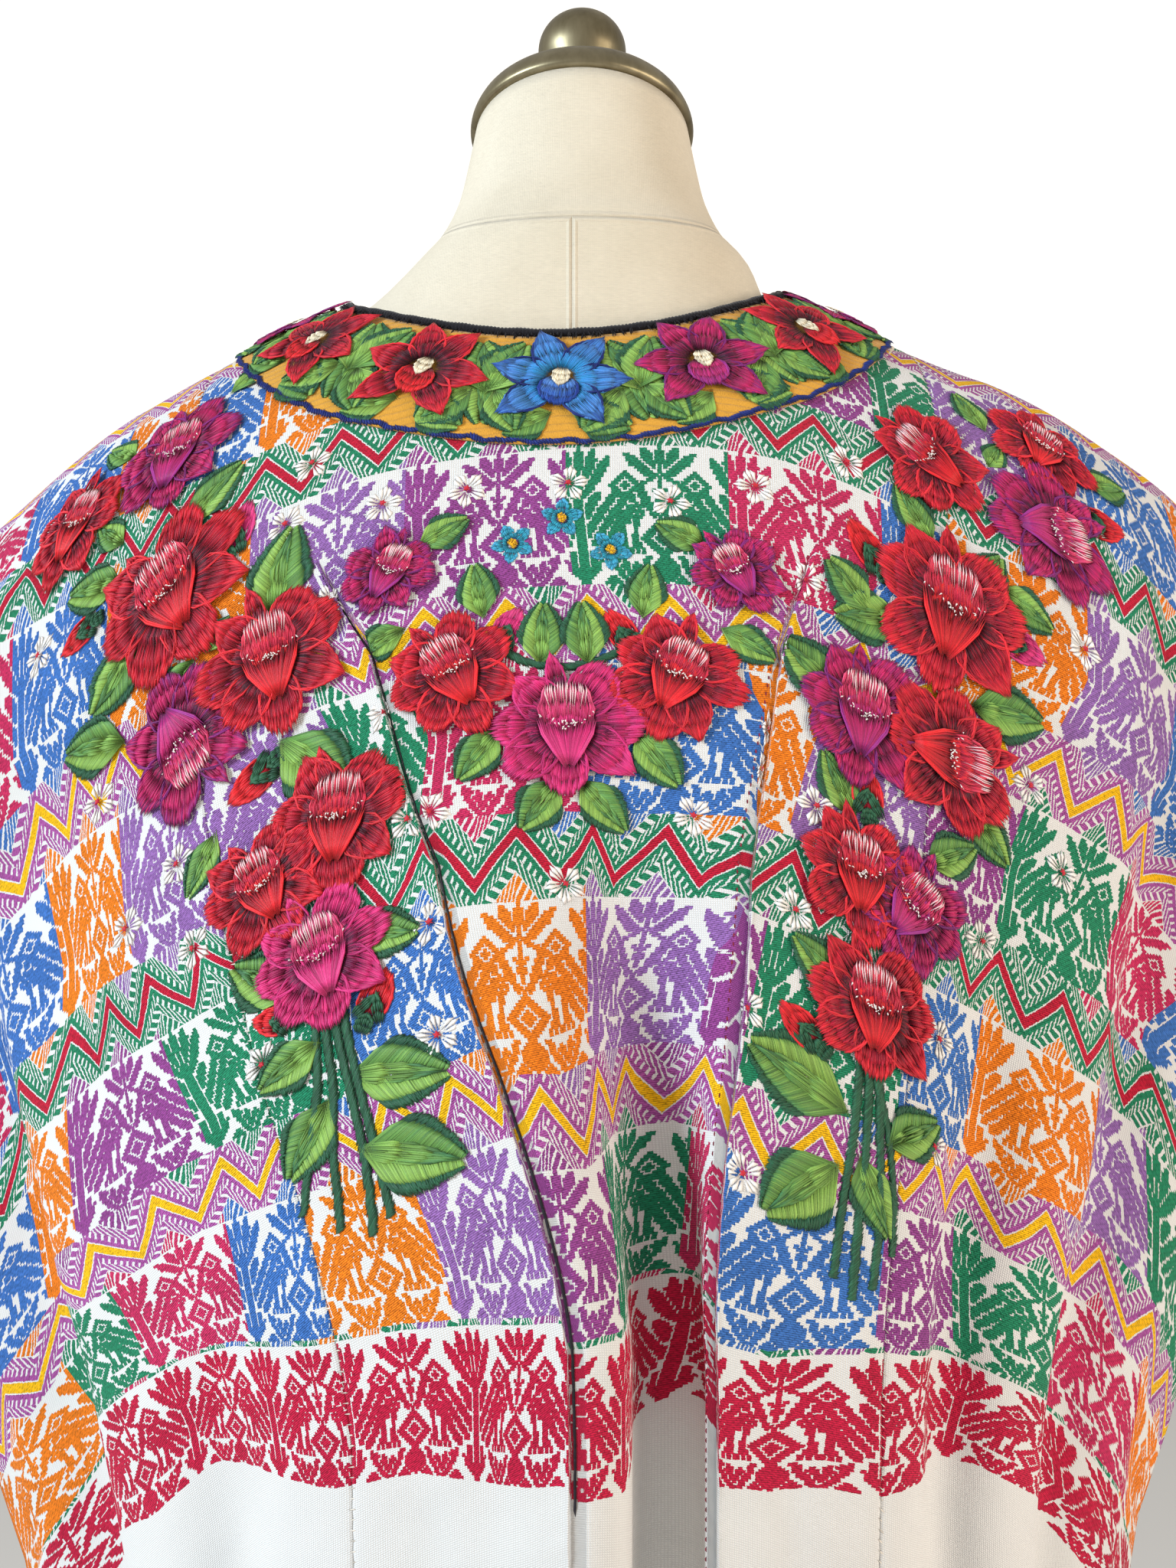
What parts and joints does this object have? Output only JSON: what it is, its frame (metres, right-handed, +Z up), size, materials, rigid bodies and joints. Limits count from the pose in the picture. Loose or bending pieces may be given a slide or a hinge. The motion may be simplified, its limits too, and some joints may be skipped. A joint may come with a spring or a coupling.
{
  "type": "huipil poncho on a limbless dress form",
  "caption": "Brocaded and embroidered huipil poncho with tucked back and embroidered neck yoke, worn by a limbless linen dress form with a brass neck cap, on a pole and round base.",
  "frame": {"origin": "centre of the round base's underside, on the floor", "axes": "+Z up the pole; the brocaded back of the huipil faces -Y, so the form faces +Y and the wearer's right side is at +X"},
  "size_m": [0.7473, 0.4503, 1.6172],
  "materials": {
    "brocaded_cotton": "handwoven white cotton covered with coloured supplementary-weft brocade",
    "yoke_embroidery": "golden cotton filled with satin-stitch flowers and leaves",
    "black_stitching": "dense fuzzy overcast stitches",
    "form_linen": "taut cream canvas",
    "old_brass": "aged, streaked and half glossy",
    "dark_iron": "satin black"
  },
  "bodies": {
    "root": {"lienzo_middle": "brocaded_cotton", "lienzo_left": "brocaded_cotton", "lienzo_right": "brocaded_cotton", "neck_yoke": "yoke_embroidery", "neck_binding": "black_stitching", "form_torso": "form_linen", "neck_cap": "old_brass", "neck_finial": "old_brass", "form_bottom_plate": "dark_iron", "stand_pole": "dark_iron", "stand_base": "dark_iron"}
  },
  "joints": []
}
